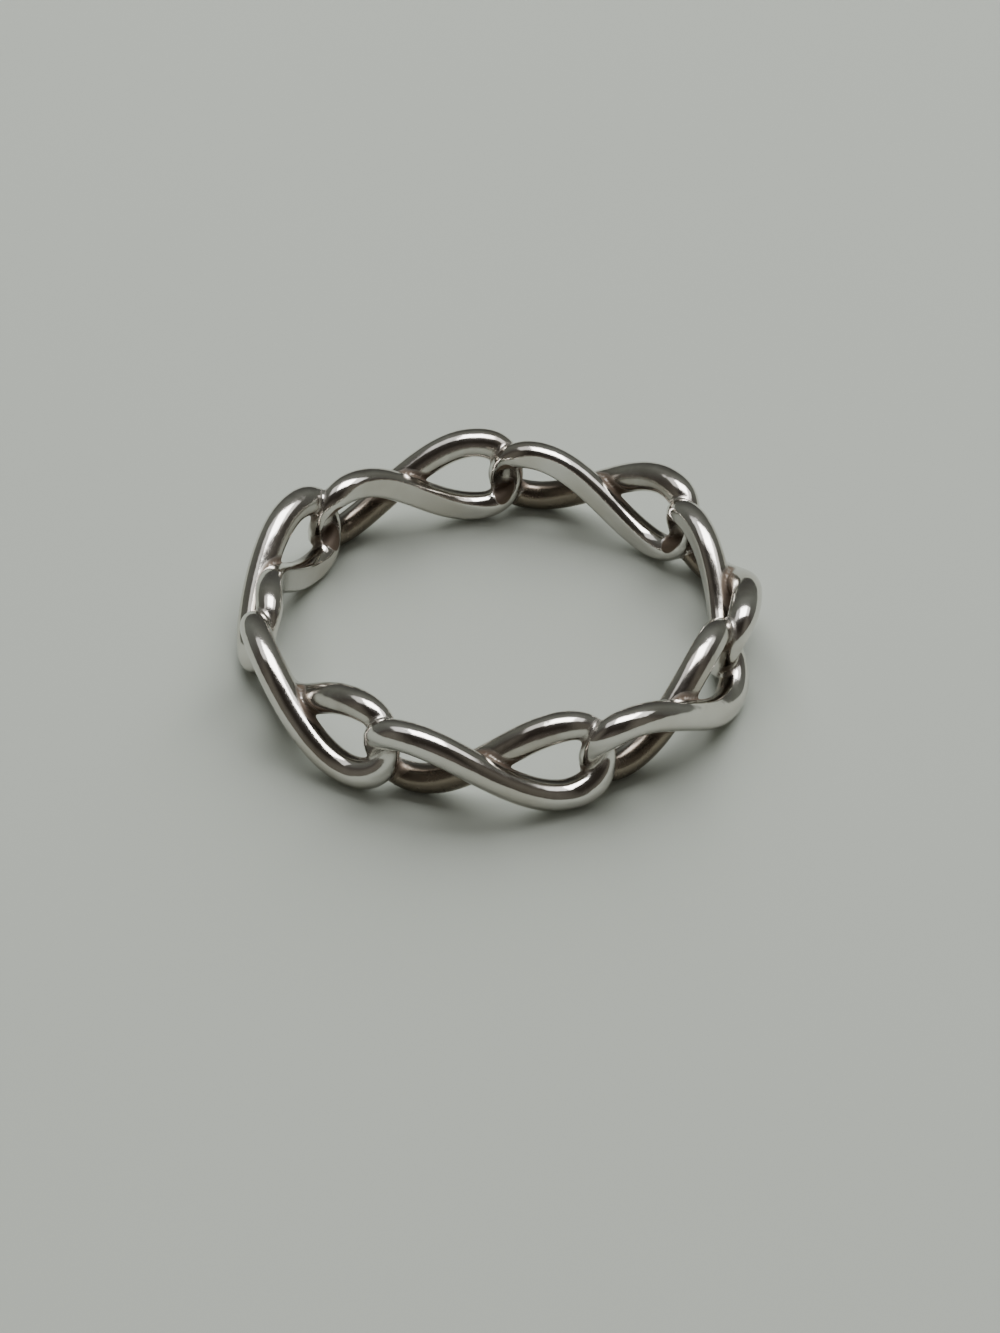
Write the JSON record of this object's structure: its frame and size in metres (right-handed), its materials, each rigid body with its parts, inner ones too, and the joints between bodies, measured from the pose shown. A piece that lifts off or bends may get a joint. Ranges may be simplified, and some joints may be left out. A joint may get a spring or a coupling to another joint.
{
  "type": "infinity ring",
  "caption": "Slim openwork finger ring: a circle of interlocked infinity-shaped wire links cast in one piece of polished silver.",
  "frame": {"origin": "on the axis of the finger hole, at the level of the surface that the ring lies on", "axes": "+Z along the axis of the finger hole, up from the surface; -Y is the front and faces the middle of one link; +X to the right seen from the front"},
  "size_m": [0.0214, 0.0213, 0.004],
  "materials": {
    "silver": "polished silver, slightly tarnished in the recesses"
  },
  "bodies": {
    "root": {"infinity_band": "silver"}
  },
  "joints": []
}
